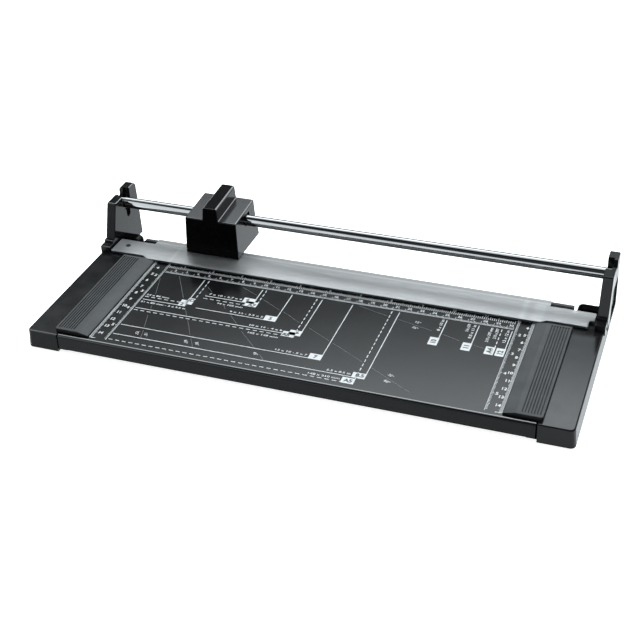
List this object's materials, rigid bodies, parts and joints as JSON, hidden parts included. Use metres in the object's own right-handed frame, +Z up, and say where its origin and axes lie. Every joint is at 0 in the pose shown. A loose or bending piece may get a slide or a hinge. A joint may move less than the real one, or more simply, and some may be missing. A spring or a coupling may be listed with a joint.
{
  "type": "rotary paper trimmer",
  "caption": "Desk paper trimmer with a black table, printed rulers, frosted clamp strip and a sliding cutting head on a round chrome rail.",
  "frame": {"origin": "middle of the footprint, on the surface that the feet stand on", "axes": "+X along the cut and the guide rail, to the user's right; +Y from the front edge to the back; +Z up"},
  "size_m": [0.424, 0.1864, 0.0651],
  "materials": {
    "table_coat": "satin black powder coat",
    "frame_plastic": "fine moulded texture",
    "stop_plastic": "fine moulded texture, ribbed",
    "strip_plastic": "frosted clear",
    "rail_chrome": "polished",
    "head_plastic": "satin moulded",
    "blade_steel": "ground",
    "plain_steel": "plain",
    "screw_steel": "zinc plated",
    "bearing_plastic": "smooth",
    "bush_plastic": "smooth",
    "foot_rubber": "matte"
  },
  "bodies": {
    "frame": {"table_plate": "table_coat", "left_end_frame": "frame_plastic", "right_end_frame": "frame_plastic", "left_paper_stop": "stop_plastic", "right_paper_stop": "stop_plastic", "stop_screws": "screw_steel", "strip_pin": "screw_steel", "guide_rail": "rail_chrome", "rail_saddles": "frame_plastic", "rail_screws": "screw_steel", "bed_knife": "blade_steel", "bed_knife_screws": "screw_steel", "bed_knife_nuts": "screw_steel", "rubber_feet": "foot_rubber"},
    "carriage": {"carriage_shell": "head_plastic", "carriage_rear_cover": "head_plastic", "rear_cover_screws": "screw_steel", "rail_bushes": "bush_plastic", "blade_carrier": "plain_steel", "carrier_screws": "screw_steel", "blade_axle": "plain_steel", "axle_clip": "plain_steel", "thrust_washer": "plain_steel", "blade_spring": "plain_steel", "pressure_shoe": "bearing_plastic", "shoe_screws": "screw_steel"},
    "blade": {"cutting_blade": "blade_steel", "blade_hub": "bearing_plastic", "hub_clamp_ring": "plain_steel"},
    "clamp_strip": {"clamp_strip": "strip_plastic"}
  },
  "joints": [
    {"name": "carriage_slide", "type": "slide", "parent": "frame", "child": "carriage", "axis": [1, 0, 0], "range_m": [-0.047, 0.278]},
    {"name": "blade_spin", "type": "hinge", "parent": "carriage", "child": "blade", "pos_m": [-0.1155, 0.06213, 0.0283], "axis": [0, 1, 0], "range_deg": [-200, 1150]},
    {"name": "strip_press", "type": "slide", "parent": "frame", "child": "clamp_strip", "axis": [0, 0, 1], "range_m": [-0.0006, 0], "stiffness_N_per_m": 3000, "springref_m": 0.001}
  ],
  "couplings": [
    {"joint": "blade_spin", "follows": "carriage_slide", "rad_per_m": 71.429}
  ]
}
